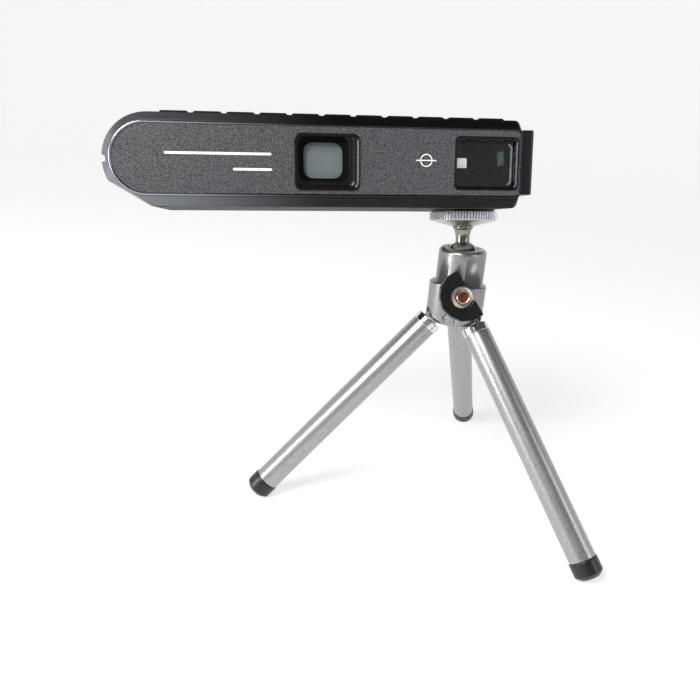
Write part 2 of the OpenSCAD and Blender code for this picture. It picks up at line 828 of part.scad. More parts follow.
module shutter_plate() {
    color(GREY) difference() {
        union() {
            slab(barrel_to, plate_to) plate(lens_x, lens_z, 30, 17.4, 2);
            blade_pivot(0.9) cylinder(r = pivot_r, h = 2);
            block(lens_x - 15, lens_x - 13, barrel_to, plate_to, body_h - 7, body_h - wall);
            block(lens_x + 13, lens_x + 15, barrel_to, plate_to, body_h - 7, body_h - wall);
        }
        along_lens(barrel_to - 1, plate_to + 1, 2.6);
    }
}

module shutter_blade() {
    color(BLACK) difference() {
        union() {
            blade_pivot(blade_t) cylinder(r = pivot_r + 1.2, h = blade_t);
            slab(blade_y, blade_y + blade_t) polygon([
                [pivot_x + 0.6, pivot_z - 1.6], [pivot_x - 0.6, pivot_z + 1.6],
                [lens_x - 2, lens_z + 3.2], [lens_x + 1, lens_z - 3.4]
            ]);
            along_lens(blade_y, blade_y + blade_t, 3.8);
        }
        blade_pivot(1) cylinder(r = pivot_r + run_gap, h = 2);
    }
}

module light_box() {
    t = 0.8;
    front = blade_y + 1;
    color(BLACK) difference() {
        slab(front, film_y) plate(lens_x, cartridge_z + cartridge_h / 2, 17 + 2 * t, 13 + 2 * t, 0.5);
        slab(front - 1, film_y - t) plate(lens_x, cartridge_z + cartridge_h / 2, 17, 13, 0.4);
        slab(front, film_y + 1) plate(lens_x, cartridge_z + cartridge_h / 2, 13, 10, 0.4);
    }
}

module film_cartridge() {
    color("#2b2d30") {
        for (x = [supply_x, takeup_x]) {
            translate([x, chamber_y, cartridge_z]) cylinder(r = chamber_r, h = cartridge_h);
        }
        block(supply_x, takeup_x, film_y + 0.2, film_y + 2.6, cartridge_z, cartridge_z + cartridge_h);
    }
}

// ---------- transport ----------

module transport_slide() {
    cover_x0 = lens_x - cover_w / 2;
    color(BLACK) difference() {
        union() {
            block(cover_x0, block_x + eps, -tray_half, tray_half, tray_z, tray_top);
            block(cover_x0, cover_x0 + cover_w, cover_y - 0.4, -tray_half + eps, tray_z, tray_top);
            end_block();
            rack();
        }
        // slots for the tripod bush and the gear's axle
        block(-bush_r - slide_travel - 1, bush_r + 1, -bush_r - 0.8, bush_r + 0.8, tray_z - 1, tray_top + 1);
        block(gear_x - slide_travel - axle_r - 0.6, gear_x + axle_r + 0.6,
              gear_y - axle_r - 0.4, gear_y + axle_r + 0.4, tray_z - 1, tray_top + 1);
    }
}

// Grip at the end that the user pulls, with its rounded front edge
module end_block() {
    r = 1.2;
    block(block_x, block_x + block_t, y_f + 1.6 + r, y_b - 2, block_low, block_high);
    block(block_x, block_x + block_t - r, y_f + 1.6, y_b - 2, block_low, block_high);
    translate([block_x + block_t - r, y_f + 1.6 + r, block_low]) cylinder(r = r, h = block_high - block_low);
}

// Teeth are thinned on both sides so that the mesh runs free
module rack() {
    first = gear_x - slide_travel - 3;
    teeth = ceil((slide_travel + 5) / tooth_pitch);
    block(first, first + teeth * tooth_pitch, rack_line + 1.1 * gear_module, tray_half + eps,
          tray_top - eps, gear_z + gear_t);
    for (i = [-floor((slide_travel + 3) / tooth_pitch) : 1]) {
        translate([gear_x + i * tooth_pitch, rack_line, tray_top - eps])
            linear_extrude(gear_z + gear_t - tray_top) rack_tooth();
    }
}

module rack_tooth() {
    foot = 0.34 * tooth_pitch / 2 + 0.25;
    tip = 0.34 * tooth_pitch / 2 - 0.16;
    low = -0.75 * gear_module;
    high = 1.2 * gear_module;
    polygon([[-foot, high], [-tip, low], [tip, low], [foot, high]]);
}

module lens_cover() {
    color("#7b8288") union() {
        slab(cover_y, cover_y + cover_t) plate(lens_x, lens_z, cover_w, cover_h, 1.5);
        block(lens_x - 5, lens_x + 5, cover_y, cover_y + cover_t, tray_top, lens_z - 6);
    }
}

module advance_gear() {
    root = pitch_r - 1.2 * gear_module;
    half = 0.3 * tooth_pitch / 2;
    color("#d8d4c8") translate([gear_x, gear_y, gear_z]) difference() {
        union() {
            cylinder(r = root, h = gear_t);
            for (i = [0 : gear_teeth - 1]) {
                rotate([0, 0, 90 + 360 * (i + 0.5) / gear_teeth]) linear_extrude(gear_t) polygon([
                    [root - 0.3, half + 0.2], [pitch_r + 0.75 * gear_module, half - 0.12],
                    [pitch_r + 0.75 * gear_module, -half + 0.12], [root - 0.3, -half - 0.2]
                ]);
            }
        }
        translate([0, 0, -1]) cylinder(r = axle_r + run_gap, h = gear_t + 2);
    }
}

module gear_axle() {
    color(STEEL) translate([gear_x, gear_y, wall / 2]) union() {
        cylinder(r = axle_r, h = gear_z + gear_t + 0.2 - wall / 2);
        translate([0, 0, gear_z + gear_t + 0.2 - wall / 2]) cylinder(r = axle_r + 0.6, h = 0.5);
    }
}

// ---------- back door ----------

module back_door() {
    color(BLACK) difference() {
        union() {
            translate([0, 0, door_low]) linear_extrude(door_high - door_low) door_section();
            block(door_pin_x, door_x0 + 2 * door_t, y_b - knuckle_r, y_b, knuckle_low, knuckle_high);
            translate([door_pin_x, door_pin_y, knuckle_low])
                cylinder(r = knuckle_r, h = knuckle_high - knuckle_low);
        }
        translate([door_pin_x, door_pin_y, 0]) cylinder(r = door_pin_r + run_gap, h = body_h);
        block(door_x1 + 0.9 - latch_travel, door_x1 + 1, y_b - latch_t - slide_gap, y_b + 1,
              split_z - latch_half - free_gap, split_z + latch_half + free_gap);
    }
}

// Door seen from above; its hinge edge is bevelled to swing clear of the casing
module door_section() {
    lip = 0.25;
    polygon([
        [door_x0, y_b], [door_x0, y_b - lip], [door_x0 + door_t - lip, y_b - door_t],
        [door_x1, y_b - door_t], [door_x1, y_b]
    ]);
}

module door_pin() {
    color(STEEL) translate([door_pin_x, door_pin_y, wall]) cylinder(r = door_pin_r, h = body_h - 2 * wall);
}

module door_pads() {
    color(RUBBER) for (x = [supply_x, takeup_x]) {
        block(x - 5, x + 5, chamber_y + chamber_r + free_gap, y_b - door_t,
              cartridge_z + 2, cartridge_z + cartridge_h - 2);
    }
}

module door_latch() {
    color(GREY) difference() {
        block(latch_x - latch_w / 2, latch_x + latch_w / 2, y_b - latch_t, y_b,
              split_z - latch_half, split_z + latch_half);
        for (i = [-2 : 2]) {
            groove_x = latch_x + i * 0.9;
            block(groove_x - 0.2, groove_x + 0.2, y_b - 0.3, y_b + 1, split_z - 2, split_z + 2);
        }
    }
}

// ---------- top ----------

module top_grip() {
    color(BLACK) difference() {
        for (i = [0 : grip_pads - 1]) {
            translate([pads_x0 + i * pad_pitch + 0.6, pads_y0, body_h]) grip_pad();
        }
        translate([button_x, button_y, body_h - 1]) cylinder(r = button_r + button_gap, h = 3);
    }
}

module grip_pad() {
    w = pad_pitch - 1.2;
    l = pads_y1 - pads_y0;
    c = 0.5;
    rotate([90, 0, 0]) translate([0, 0, -l]) linear_extrude(l) polygon([
        [0, 0], [0, grip_pad_h - c], [c, grip_pad_h], [w - c, grip_pad_h], [w, grip_pad_h - c], [w, 0]
    ]);
}

module release_button() {
    color("#8d2a20") translate([button_x, button_y, 0]) union() {
        translate([0, 0, body_h - 1.2]) cylinder(r = button_r, h = grip_pad_h + 0.8);
        translate([0, 0, button_top - 0.4]) cylinder(r1 = button_r, r2 = button_r - 0.4, h = 0.4);
        translate([0, 0, button_stem_z]) cylinder(r = button_stem_r, h = body_h - button_stem_z - 1);
    }
}

// Helix swept by rings of eight points
module release_spring() {
    turns = 4;
    wire = 0.25;
    coil = button_stem_r + 0.9;
    z0 = guide_z + wire + 0.02;
    rise = body_h - 1.2 - wire - 0.05 - z0;
    rings = 12 * turns;
    sides = 8;
    points = [
        for (i = [0 : rings], k = [0 : sides - 1])
            let (a = 360 * turns * i / rings, b = 360 * k / sides, q = coil + wire * cos(b))
            [q * cos(a), q * sin(a), z0 + rise * i / rings + wire * sin(b)]
    ];
    sidefaces = [
        for (i = [0 : rings - 1], k = [0 : sides - 1])
            let (a = i * sides, b = a + sides, next = (k + 1) % sides)
            [a + k, b + k, b + next, a + next]
    ];
    ends = [[for (k = [0 : sides - 1]) k], [for (k = [sides - 1 : -1 : 0]) rings * sides + k]];
    color(STEEL) translate([button_x, button_y, 0]) polyhedron(points, concat(sidefaces, ends));
}

// ---------- fasteners ----------

module tripod_bush() {
    color(BRASS) difference() {
        cylinder(r = bush_r, h = bush_top);
        translate([0, 0, -1]) cylinder(r = thread_r + run_gap, h = bush_top);
    }
}

module strap_pin() {
    color(STEEL) translate([x_l + notch_d - strap_pin_r - 0.05, y_f + 6.5, notch_z])
        cylinder(r = strap_pin_r, h = notch_h);
}

module casing_screws() {
    color(STEEL) for (p = SCREWS) {
        translate([p[0], p[1], 0]) difference() {
            union() {
                translate([0, 0, 0.3]) cylinder(r = 1.6, h = 0.8);
                translate([0, 0, 1]) cylinder(r = screw_r, h = split_z + 4);
            }
            translate([-1, -0.2, 0]) cube([2, 0.4, 0.7]);
        }
    }
}

head_housing();
ball_seat();
ball_stud();
lock_disc();
disc_pad();
clamp_screw();
clamp_hub();
clamp_grip();
leg_pins();
leg_lug(LEGS[0]);  // left_leg_lug
leg_collar(LEGS[0]);  // left_leg_collar
leg_tube(LEGS[0]);  // left_leg_tube
foot(LEGS[0]);  // left_foot
leg_lug(LEGS[1]);  // right_leg_lug
leg_collar(LEGS[1]);  // right_leg_collar
leg_tube(LEGS[1]);  // right_leg_tube
foot(LEGS[1]);  // right_foot
leg_lug(LEGS[2]);  // rear_leg_lug
leg_collar(LEGS[2]);  // rear_leg_collar
leg_tube(LEGS[2]);  // rear_leg_tube
foot(LEGS[2]);  // rear_foot
on_stud() bottom_casing();
on_stud() top_casing();
on_stud() front_frame();
on_stud() front_panel();
on_stud() trim_frame();
on_stud() lens_bezel();
on_stud() viewfinder_frame();
on_stud() viewfinder_window();
on_stud() viewfinder_tunnel();
on_stud() eyepiece();
on_stud() top_grip();
on_stud() release_button();
on_stud() release_spring();
on_stud() lens_barrel();
on_stud() front_element();
on_stud() rear_element();
on_stud() shutter_plate();
on_stud() shutter_blade();
on_stud() light_box();
on_stud() film_cartridge();
on_stud() transport_slide();
on_stud() lens_cover();
on_stud() advance_gear();
on_stud() gear_axle();
on_stud() back_door();
on_stud() door_pin();
on_stud() door_pads();
on_stud() door_latch();
on_stud() tripod_bush();
on_stud() strap_pin();
on_stud() casing_screws();
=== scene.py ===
"""Subminiature film camera on a folding table tripod: its looks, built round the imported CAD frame.

Sizes are in millimetres in each assembly's own frame; a place matrix carries them to the frame in metres.
"""

import json
from math import asin, cos, pi, radians, sin, sqrt

import bmesh
import bpy
from mathutils import Matrix, Vector


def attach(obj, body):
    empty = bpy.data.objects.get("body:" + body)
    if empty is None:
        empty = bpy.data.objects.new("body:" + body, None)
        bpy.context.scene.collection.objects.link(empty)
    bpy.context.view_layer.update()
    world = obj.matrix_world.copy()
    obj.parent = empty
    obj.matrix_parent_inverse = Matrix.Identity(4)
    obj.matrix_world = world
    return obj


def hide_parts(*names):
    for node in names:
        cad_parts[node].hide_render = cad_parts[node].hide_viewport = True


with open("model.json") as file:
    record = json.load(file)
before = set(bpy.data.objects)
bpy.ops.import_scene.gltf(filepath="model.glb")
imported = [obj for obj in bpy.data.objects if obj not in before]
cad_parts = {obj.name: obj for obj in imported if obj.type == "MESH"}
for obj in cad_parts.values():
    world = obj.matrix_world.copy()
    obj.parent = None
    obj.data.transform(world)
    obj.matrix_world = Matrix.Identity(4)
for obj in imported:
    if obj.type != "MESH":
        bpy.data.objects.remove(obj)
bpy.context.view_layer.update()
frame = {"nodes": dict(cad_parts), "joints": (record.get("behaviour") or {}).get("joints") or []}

MM = 0.001
HARD_EDGE = 32  # degrees between two faces from which their edge counts as sharp
HANDLING_MARK = 14  # millimetres, about a fingertip
NODES = frame["nodes"]
JOINTS = {joint["name"]: joint for joint in frame["joints"]}


# ---------------------------------------------------------------- places

def place_at(joint, z_axis, x_axis):
    """Frame in millimetres at a joint, with its z along z_axis and its x near x_axis."""
    z = Vector(z_axis).normalized()
    x = Vector(x_axis)
    x = (x - z * x.dot(z)).normalized()
    place = Matrix((x, z.cross(x), z)).transposed().to_4x4()
    place.translation = Vector(JOINTS[joint]["pos_m"])
    return place @ Matrix.Diagonal((MM, MM, MM, 1))


CAMERA = place_at("camera_turn", JOINTS["camera_turn"]["axis"], JOINTS["transport_pull"]["axis"])
STUD = place_at("ball_pan", JOINTS["camera_turn"]["axis"], (1, 0, 0))
CLAMP = place_at("clamp_turn", JOINTS["clamp_turn"]["axis"], (0, 0, -1))
GRIP_OPENING = 126
GRIP = CLAMP @ Matrix.Rotation(radians(GRIP_OPENING), 4, "Z")


def span(node, place):
    """Lowest and highest corner of a CAD node in a place's own millimetres."""
    inverse = place.inverted()
    points = [inverse @ v.co for v in NODES[node].data.vertices]
    return Vector(map(min, *points)), Vector(map(max, *points))


# ---------------------------------------------------------------- node helper

def add_node(tree, kind, inputs=None, **settings):
    """Adds a node; an input's value is set, or linked where it is another node's output."""
    node = tree.nodes.new(kind)
    for name, value in settings.items():
        setattr(node, name, value)
    for name, value in (inputs or {}).items():
        for source in value if isinstance(value, list) else [value]:
            if isinstance(source, bpy.types.NodeSocket):
                tree.links.new(source, node.inputs[name])
            else:
                node.inputs[name].default_value = source
    return node


def linear(hex_colour):
    """sRGB hex to the linear colour that the shaders take."""
    parts = [int(hex_colour[i:i + 2], 16) / 255 for i in (1, 3, 5)]
    return (*[c / 12.92 if c <= 0.04045 else ((c + 0.055) / 1.055) ** 2.4 for c in parts], 1)


# ---------------------------------------------------------------- finishes

def surface(name, dark, light, grain, rough, bump=0.0, stretch=(1, 1, 1), contrast=(0.35, 0.65),
            painted_sheen=None, **shader):
    """A finish whose colour and roughness vary from dark to light over grains of the given size.

    grain and bump are in millimetres; rough is the roughness on the dark and on the light grains.
    painted_sheen is (colour, x where it is full, x where it ends): a painted highlight that brightens the
    coat towards one end.
    """
    material = bpy.data.materials.new(name)
    material.use_nodes = True
    tree = material.node_tree
    tree.nodes.clear()
    where = add_node(tree, "ShaderNodeTexCoord")
    mapped = add_node(tree, "ShaderNodeMapping", {"Vector": where.outputs["Object"], "Scale": stretch})
    fine = add_node(tree, "ShaderNodeTexNoise", {
        "Vector": mapped.outputs["Vector"], "Scale": 1000 / grain, "Detail": 3.0, "Roughness": 0.6,
    })
    spread = add_node(tree, "ShaderNodeMapRange", {
        "Value": fine.outputs["Fac"], "From Min": contrast[0], "From Max": contrast[1],
    })
    # handling marks
    marks = add_node(tree, "ShaderNodeTexNoise", {
        "Vector": where.outputs["Object"], "Scale": 1000 / HANDLING_MARK, "Detail": 4.0, "Roughness": 0.55,
    })
    colour = add_node(tree, "ShaderNodeMix", {
        "Factor": spread.outputs["Result"], "A": linear(dark), "B": linear(light),
    }, data_type="RGBA")
    # painted highlight: the colour brightens towards one end along x, standing in for lamp light reflected
    # there
    if painted_sheen:
        along = add_node(tree, "ShaderNodeSeparateXYZ", {"Vector": where.outputs["Object"]})
        painted_sheen_amount = add_node(tree, "ShaderNodeMapRange", {
            "Value": along.outputs["X"], "From Min": painted_sheen[1] * MM, "From Max": painted_sheen[2] * MM,
            "To Min": 1.0, "To Max": 0.0,
        }, interpolation_type="SMOOTHSTEP")
        colour = add_node(tree, "ShaderNodeMix", {
            "Factor": painted_sheen_amount.outputs["Result"], "A": colour.outputs["Result"], "B": linear(painted_sheen[0]),
        }, data_type="RGBA")
    worn = add_node(tree, "ShaderNodeMath", {
        0: spread.outputs["Result"], 1: marks.outputs["Fac"],
    }, operation="MULTIPLY")
    roughness = add_node(tree, "ShaderNodeMapRange", {
        "Value": worn.outputs["Value"], "To Min": rough[0], "To Max": rough[1],
    })
    inputs = {"Base Color": colour.outputs["Result"], "Roughness": roughness.outputs["Result"], **shader}
    if bump:
        relief = add_node(tree, "ShaderNodeBump", {
            "Height": fine.outputs["Fac"], "Distance": bump * MM, "Strength": 1.0,
        })
        inputs["Normal"] = relief.outputs["Normal"]
    shader_node = add_node(tree, "ShaderNodeBsdfPrincipled", inputs)
    add_node(tree, "ShaderNodeOutputMaterial", {"Surface": shader_node.outputs["BSDF"]})
    return material


# Moulded ABS with a fine matt skin: near black, broad soft highlights
CASING_ABS = surface("fine_matt_black_abs", "#08090a", "#0f1011", 0.3, (0.50, 0.62), 0.002,
                     IOR=1.42, **{"Specular IOR Level": 0.2})
# Blackened satin metal of the front frame, with a painted grey highlight towards the round end that stands
# in for the reflection of the lamps at the left
FRAME_METAL = surface("blackened_satin_metal_painted_sheen", "#141517", "#1d1f22", 0.6, (0.28, 0.38), 0.001,
                      painted_sheen=("#75787c", -118, -45), Metallic=0.8)
# Satin black ABS of the transport slide: black with a soft-edged shine
SLIDE_ABS = surface("satin_black_abs", "#0a0b0c", "#111214", 0.4, (0.30, 0.42), 0.001,
                    IOR=1.48, **{"Specular IOR Level": 0.4})
# Black-chromed bead, with a painted bright highlight towards the round end that stands in for the
# reflection of the lamps at the left
TRIM_CHROME = surface("black_chrome_painted_sheen", "#2c2e33", "#3b3d43", 0.5, (0.16, 0.28), 0.001,
                      painted_sheen=("#a2a5ae", -112, -50), Metallic=1.0)
# Grit-blasted anodised sheet: charcoal with sparkling grains a third of a millimetre wide
PANEL_ANODISED = surface("grit_blasted_anodised_sheet", "#232427", "#87888d", 0.28, (0.34, 0.58), 0.025,
                         contrast=(0.36, 0.78), Metallic=0.5)
# Half-gloss black ABS around the lens: deep black with soft-edged reflections
BEZEL_ABS = surface("half_gloss_black_abs", "#070709", "#0c0d0f", 0.8, (0.26, 0.36), 0.001,
                    IOR=1.5, **{"Specular IOR Level": 0.3})
# Matt grey acetal shutter plate: flat cool grey with faint moulding lines
COVER_ACETAL = surface("matt_grey_acetal", "#566063", "#687276", 0.35, (0.42, 0.60), 0.006,
                       stretch=(3, 3, 0.3), IOR=1.48)
# Flocked black lining: soaks up light
LINING = surface("flocked_black_lining", "#020202", "#050505", 0.2, (0.85, 0.95), 0.002,
                 IOR=1.45, **{"Specular IOR Level": 0.1})
# Silver lacquer over aluminium tube: satin grey that sparkles finely
SILVER_LACQUER = surface("sparkle_silver_lacquer", "#808283", "#b9bab8", 0.4, (0.28, 0.42), 0.008,
                         contrast=(0.25, 0.75), Metallic=0.85)
# Silver lacquer over the zinc casting: the same paint, a little darker and smoother
CAST_LACQUER = surface("silver_lacquered_zinc_casting", "#7c7d7b", "#9b9c98", 0.5, (0.26, 0.38), 0.008,
                       contrast=(0.20, 0.80), Metallic=0.85)
# Chromium plate: mirror bright with wiping marks
CHROME = surface("chromium_plate", "#c9cacb", "#e9eaea", 2.5, (0.05, 0.17), 0.0, Metallic=1.0)
# Nickel plate on the turned stud: faintly warm mirror with fine turning lines
NICKEL = surface("turned_nickel_plate", "#77726a", "#9a958c", 0.5, (0.08, 0.24), 0.002,
                 stretch=(0.4, 0.4, 4), Metallic=1.0)
# Bright turned steel hub: pale, almost white under the light
HUB_STEEL = surface("bright_turned_steel", "#dcd9d2", "#f4f2ee", 0.6, (0.36, 0.48), 0.002, Metallic=0.55)
# Zinc-plated steel for pins, screws and lugs: dull grey metal
ZINC_STEEL = surface("zinc_plated_steel", "#8b8d8e", "#b3b5b5", 1.0, (0.22, 0.40), 0.004, Metallic=1.0)
# Knurled aluminium disc: matt bright ridges
DISC_ALUMINIUM = surface("knurled_aluminium", "#a9acaf", "#d0d2d4", 0.5, (0.32, 0.46), 0.004, Metallic=1.0)
# Vulcanised rubber feet and pad: black, soft gloss
RUBBER = surface("vulcanised_black_rubber", "#08090a", "#131314", 0.6, (0.30, 0.55), 0.012, IOR=1.52)
# Phenolic grip: hard black with a polished skin
GRIP_PHENOLIC = surface("polished_black_phenolic", "#050506", "#0a0a0c", 0.7, (0.24, 0.38), 0.002,
                        IOR=1.5, **{"Specular IOR Level": 0.4})
# Tarnished copper alloy on the screw's end face
COPPER_TARNISHED = surface("tarnished_copper_alloy", "#5d3a22", "#87583a", 0.9, (0.30, 0.48), 0.01,
                           Metallic=0.9)
# The same alloy rubbed bright on the screw's edge
COPPER_RUBBED = surface("rubbed_copper_alloy", "#b48c72", "#dcc0ac", 0.6, (0.16, 0.30), 0.004, Metallic=1.0)
# Free-cutting brass for the tripod bush
BRASS = surface("free_cutting_brass", "#a98645", "#cfae6b", 0.7, (0.18, 0.34), 0.004, Metallic=1.0)
# Natural nylon for the film advance gear
NYLON = surface("natural_nylon", "#cfcab9", "#e2ded0", 0.8, (0.35, 0.50), 0.004, IOR=1.53,
                **{"Subsurface Weight": 0.15, "Subsurface Scale": 0.001})
# Phosphated steel shutter plate: dull grey
PHOSPHATED = surface("phosphated_steel", "#4b4e50", "#6a6d6f", 0.5, (0.40, 0.60), 0.006, Metallic=0.8)
# Grey moulded latch
LATCH_ABS = surface("moulded_grey_abs", "#5d6164", "#6d7275", 0.3, (0.35, 0.50), 0.008, IOR=1.53)
# Red moulded release button
BUTTON_ABS = surface("moulded_red_abs", "#7a2118", "#9a2e22", 0.3, (0.28, 0.42), 0.006, IOR=1.53)
# Film cartridge: moulded dark grey polystyrene
CARTRIDGE = surface("moulded_grey_polystyrene", "#25272a", "#34373a", 0.4, (0.35, 0.50), 0.008, IOR=1.59)
# White printing ink on the panel
INK = surface("white_printing_ink", "#d9dadb", "#f4f4f4", 0.3, (0.45, 0.60), 0.004, IOR=1.5)
# Opal acrylic eye block with a painted glow: it gives off its own light, standing in for a bright patch of
# light in the dark finder
OPAL_PAINTED_GLOW = surface("opal_acrylic_painted_glow", "#dcdad4", "#f4f3ef", 0.8, (0.25, 0.40), 0.002, IOR=1.49,
               **{"Emission Color": linear("#f6f2ea"), "Emission Strength": 0.35})
# Blue-coated plate: cool grey-blue sheen
COATED_PLATE = surface("blue_coated_glass_plate", "#59636c", "#7b8893", 1.2, (0.12, 0.2), 0.0, Metallic=0.6)
# Clear cast acrylic for the finder's windows
ACRYLIC = surface("clear_cast_acrylic", "#e9eff0", "#f6fafa", 4.0, (0.0, 0.02), 0.0,
                  IOR=1.49, **{"Transmission Weight": 1.0})
# Coated optical glass of the two lens elements
LENS_GLASS = surface("coated_optical_glass", "#b9c6dc", "#d5dcee", 4.0, (0.0, 0.02), 0.0,
                     IOR=1.62, **{"Transmission Weight": 1.0})


# ---------------------------------------------------------------- mesh helpers

def arc(cx, cy, r, start, end, steps):
    """Points on an arc, with its angles in degrees."""
    angles = [radians(start + (end - start) * i / steps) for i in range(steps + 1)]
    return [(cx + r * cos(a), cy + r * sin(a)) for a in angles]


def rounded_box(cx, cy, w, h, r, steps=6):
    """Outline of a box with round corners."""
    x, y = w / 2 - r, h / 2 - r
    corners = ((x, -y, -90), (x, y, 0), (-x, y, 90), (-x, -y, 180))
    return [p for dx, dy, a in corners for p in arc(cx + dx, cy + dy, r, a, a + 90, steps)]


def round_end(x0, x1, z0, z1, r, steps=8):
    """Outline with a half-round left end and small round corners on the right."""
    big = (z1 - z0) / 2
    return (arc(x1 - r, z0 + r, r, -90, 0, steps) + arc(x1 - r, z1 - r, r, 0, 90, steps)
            + arc(x0 + big, z0 + big, big, 90, 270, 6 * steps))


def object_from(name, bm, place):
    """Mesh object from a bmesh in a place's millimetres, with its faces outwards."""
    bmesh.ops.remove_doubles(bm, verts=bm.verts, dist=1e-5)
    bmesh.ops.recalc_face_normals(bm, faces=bm.faces)
    bm.transform(place)
    mesh = bpy.data.meshes.new(name)
    bm.to_mesh(mesh)
    bm.free()
    piece = bpy.data.objects.new(name, mesh)
    bpy.context.scene.collection.objects.link(piece)
    return piece


def loft(name, rings, place, ends="open"):
    """Skin over rings of equal length; ends is 'capped', or 'looped' for a frame round an opening."""
    bm = bmesh.new()
    rows = [[bm.verts.new(p) for p in ring] for ring in rings]
    pairs = list(zip(rows, rows[1:] + rows[:1])) if ends == "looped" else list(zip(rows, rows[1:]))
    for low, high in pairs:
        for i in range(len(low)):
            j = (i + 1) % len(low)
            bm.faces.new((low[i], low[j], high[j], high[i]))
    if ends == "capped":
        bm.faces.new(rows[0])
        bm.faces.new(rows[-1])
    return object_from(name, bm, place)


def lathe(name, profile, place, steps=72):
    """Solid turned about z from (radius, height) points that start and end on the axis or meet."""
    bm = bmesh.new()
    rows = [[bm.verts.new((r * cos(2 * pi * i / steps), r * sin(2 * pi * i / steps), z))
             for i in range(steps)] for r, z in profile]
    for low, high in zip(rows, rows[1:]):
        for i in range(steps):
            j = (i + 1) % steps
            bm.faces.new((low[i], low[j], high[j], high[i]))
    for row, (r, _) in ((rows[0], profile[0]), (rows[-1], profile[-1])):
        if r == 0:
            bmesh.ops.remove_doubles(bm, verts=row, dist=1e-6)
    return object_from(name, bm, place)


def evaluated_mesh(piece):
    """Plain mesh of a piece with its modifiers in it."""
    graph = bpy.context.evaluated_depsgraph_get()
    mesh = bpy.data.meshes.new_from_object(piece.evaluated_get(graph))
    piece.modifiers.clear()
    old = piece.data
    piece.data = mesh
    bpy.data.meshes.remove(old)
    mesh.name = piece.name
    return mesh


def shade(piece, angle=HARD_EDGE):
    """Smooth faces with hard edges above the angle."""
    piece.data.shade_smooth()
    piece.data.set_sharp_from_angle(angle=radians(angle))


def dress(piece, body, slot, material, *stands_for):
    """Gives a finished piece its material and its body, and hides the CAD nodes it stands for."""
    if not piece.data.materials:
        piece.data.materials.append(material)
    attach(piece, body)
    if stands_for:
        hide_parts(*stands_for)
    return piece


def softened(name, node, edge, body, slot, material, segments=2):
    """A CAD node's shape with its outward edges broken by a small round; inner corners stay sharp."""
    bm = bmesh.new()
    bm.from_mesh(NODES[node].data)
    bmesh.ops.remove_doubles(bm, verts=bm.verts, dist=1e-6)
    bmesh.ops.dissolve_limit(bm, angle_limit=radians(0.5), verts=bm.verts, edges=bm.edges)
    weight = bm.edges.layers.float.new("bevel_weight_edge")
    for side in bm.edges:
        if side.is_manifold and side.is_convex and side.calc_face_angle(0) > radians(HARD_EDGE):
            side[weight] = 1.0
    mesh = bpy.data.meshes.new(name)
    bm.to_mesh(mesh)
    bm.free()
    piece = bpy.data.objects.new(name, mesh)
    bpy.context.scene.collection.objects.link(piece)
    mesh.shade_smooth()
    bevel = piece.modifiers.new("broken_edges", "BEVEL")
    bevel.width = edge * MM
    bevel.segments = segments
    bevel.limit_method = "WEIGHT"
    bevel.use_clamp_overlap = False
    weighted = piece.modifiers.new("flat_faces", "WEIGHTED_NORMAL")
    weighted.keep_sharp = True
    evaluated_mesh(piece)
    return dress(piece, body, slot, material, node)


# ---------------------------------------------------------------- repeats

def group_with(name, sockets):
    """Geometry node group with a Core geometry input, named sizes and one geometry output."""
    tree = bpy.data.node_groups.new(name, "GeometryNodeTree")
    tree.interface.new_socket("Core", in_out="INPUT", socket_type="NodeSocketGeometry")
    for socket, kind in sockets.items():
        tree.interface.new_socket(socket, in_out="INPUT", socket_type="NodeSocket" + kind)
    tree.interface.new_socket("Geometry", in_out="OUTPUT", socket_type="NodeSocketGeometry")
    return tree


def close_group(tree, source, copies):
    """Joins the copies to the core, makes them real and gives them the material."""
    joined = add_node(tree, "GeometryNodeJoinGeometry", {"Geometry": [source.outputs["Core"], copies]})
    real = add_node(tree, "GeometryNodeRealizeInstances", {"Geometry": joined.outputs["Geometry"]})
    coated = add_node(tree, "GeometryNodeSetMaterial", {
        "Geometry": real.outputs["Geometry"], "Material": source.outputs["Material"],
    })
    add_node(tree, "NodeGroupOutput", {"Geometry": coated.outputs["Geometry"]})
    return tree


def knurl_group():
    """Straight round-backed ridges standing around a rim."""
    tree = group_with("straight_knurl", {
        "Ridges": "Int", "Radius": "Float", "Ridge radius": "Float", "Height": "Float",
        "Middle": "Vector", "Material": "Material",
    })
    source = add_node(tree, "NodeGroupInput")
    circle = add_node(tree, "GeometryNodeMeshCircle", {
        "Vertices": source.outputs["Ridges"], "Radius": source.outputs["Radius"],
    })
    ridge = add_node(tree, "GeometryNodeMeshCylinder", {
        "Vertices": 8, "Radius": source.outputs["Ridge radius"], "Depth": source.outputs["Height"],
    })
    standing = add_node(tree, "GeometryNodeInstanceOnPoints", {
        "Points": circle.outputs["Mesh"], "Instance": ridge.outputs["Mesh"],
    })
    raised = add_node(tree, "GeometryNodeTransform", {
        "Geometry": standing.outputs["Instances"], "Translation": source.outputs["Middle"],
    })
    return close_group(tree, source, raised.outputs["Geometry"])


def rib_group():
    """A row of round-backed ribs, each lying across the row."""
    tree = group_with("row_of_ribs", {
        "Ribs": "Int", "Start": "Vector", "Step": "Vector", "Turn": "Rotation",
        "Rib radius": "Float", "Length": "Float", "Material": "Material",
    })
    source = add_node(tree, "NodeGroupInput")
    line = add_node(tree, "GeometryNodeMeshLine", {
        "Count": source.outputs["Ribs"], "Start Location": source.outputs["Start"],
        "Offset": source.outputs["Step"],
    })
    rib = add_node(tree, "GeometryNodeMeshCylinder", {
        "Vertices": 10, "Radius": source.outputs["Rib radius"], "Depth": source.outputs["Length"],
    })
    laid = add_node(tree, "GeometryNodeInstanceOnPoints", {
        "Points": line.outputs["Mesh"], "Instance": rib.outputs["Mesh"],
        "Rotation": source.outputs["Turn"],
    })
    return close_group(tree, source, laid.outputs["Instances"])


